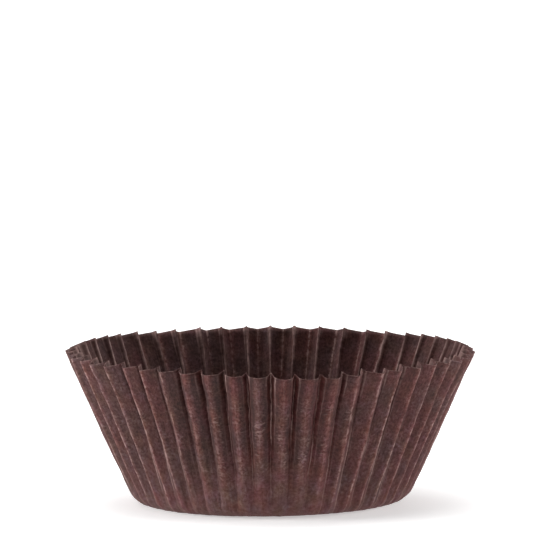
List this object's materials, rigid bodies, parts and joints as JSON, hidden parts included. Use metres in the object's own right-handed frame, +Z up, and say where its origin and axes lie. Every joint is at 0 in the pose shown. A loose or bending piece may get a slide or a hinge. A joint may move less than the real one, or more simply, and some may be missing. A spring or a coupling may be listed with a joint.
{
  "type": "cupcake liner",
  "caption": "Open paper baking cup with a flat round base and a flared, pleated wall, standing on its base.",
  "frame": {"origin": "centre of the underside of the base", "axes": "+Z up along the cup's axis, out of its mouth; a ridge of the pleats lies on +X and another on -X"},
  "size_m": [0.076, 0.076, 0.0285],
  "materials": {
    "paper": "matt brown greaseproof baking paper"
  },
  "bodies": {
    "root": {"liner": "paper"}
  },
  "joints": []
}
